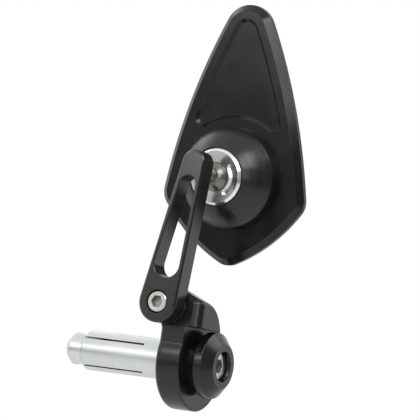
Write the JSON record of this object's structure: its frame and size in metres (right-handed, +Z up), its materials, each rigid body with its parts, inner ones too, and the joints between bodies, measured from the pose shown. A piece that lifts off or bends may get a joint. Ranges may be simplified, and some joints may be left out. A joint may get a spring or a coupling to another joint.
{
  "type": "motorcycle bar end mirror",
  "caption": "Bar end mirror with a kite-shaped head on a ball socket, a slotted swinging arm, a clamped base and an expanding plug that grips inside the handlebar.",
  "frame": {"origin": "on the handlebar's axis, where its end face meets the base", "axes": "+X along the handlebar, outboard; +Z up; the glass faces +Y, towards the rider"},
  "size_m": [0.0992, 0.0516, 0.1825],
  "materials": {
    "machined_aluminium": "turned",
    "stainless_steel": "machined",
    "gloss_black": "gloss black anodised",
    "satin_black": "satin black anodised",
    "turned_black": "turned, black anodised",
    "polished_steel": "polished",
    "seat_plastic": "moulded",
    "adhesive_pad": "foam",
    "mirror_glass": "silvered glass"
  },
  "bodies": {
    "plug": {"expander_sleeve": "machined_aluminium"},
    "wedge": {"wedge_nut": "machined_aluminium"},
    "end_screw": {"expander_bolt": "stainless_steel"},
    "base": {"mount_base": "gloss_black", "end_cap": "gloss_black", "bolt_washer": "stainless_steel", "pivot_bolt": "stainless_steel", "spring_washer": "stainless_steel", "friction_washer": "stainless_steel"},
    "swing_arm": {"arm": "satin_black"},
    "stud": {"ball_stud": "polished_steel"},
    "seat": {"ball_seat": "seat_plastic"},
    "head": {"socket_dome": "turned_black", "retaining_ring": "polished_steel", "dome_screws": "stainless_steel", "mirror_shell": "satin_black", "glass_pad": "adhesive_pad", "mirror_glass": "mirror_glass"}
  },
  "joints": [
    {"name": "end_screw_turn", "type": "hinge", "parent": "plug", "child": "end_screw", "pos_m": [0, 0, 0], "axis": [1, 0, 0], "range_deg": [0, 720]},
    {"name": "wedge_slide", "type": "slide", "parent": "plug", "child": "wedge", "axis": [-1, 0, 0], "range_m": [0, 0.0025]},
    {"name": "bar_swivel", "type": "hinge", "parent": "plug", "child": "base", "pos_m": [0, 0, 0], "axis": [1, 0, 0], "continuous": true},
    {"name": "arm_swing", "type": "hinge", "parent": "base", "child": "swing_arm", "pos_m": [0.0024, -0.01801, 0.02572], "axis": [0, 0.9945, -0.1045], "range_deg": [-75, 90]},
    {"name": "head_roll", "type": "hinge", "parent": "swing_arm", "child": "stud", "pos_m": [0.0097, 0.00372, 0.08322], "axis": [0, 0.9945, -0.1045], "range_deg": [-90, 90]},
    {"name": "head_tilt", "type": "hinge", "parent": "stud", "child": "seat", "pos_m": [0.0097, 0.00372, 0.08322], "axis": [1, 0, 0], "range_deg": [-20, 20]},
    {"name": "head_pan", "type": "hinge", "parent": "seat", "child": "head", "pos_m": [0.0097, 0.00372, 0.08322], "axis": [0, 0, 1], "range_deg": [-20, 20]}
  ],
  "couplings": [
    {"joint": "end_screw_turn", "follows": "wedge_slide", "rad_per_m": 5026.5}
  ]
}
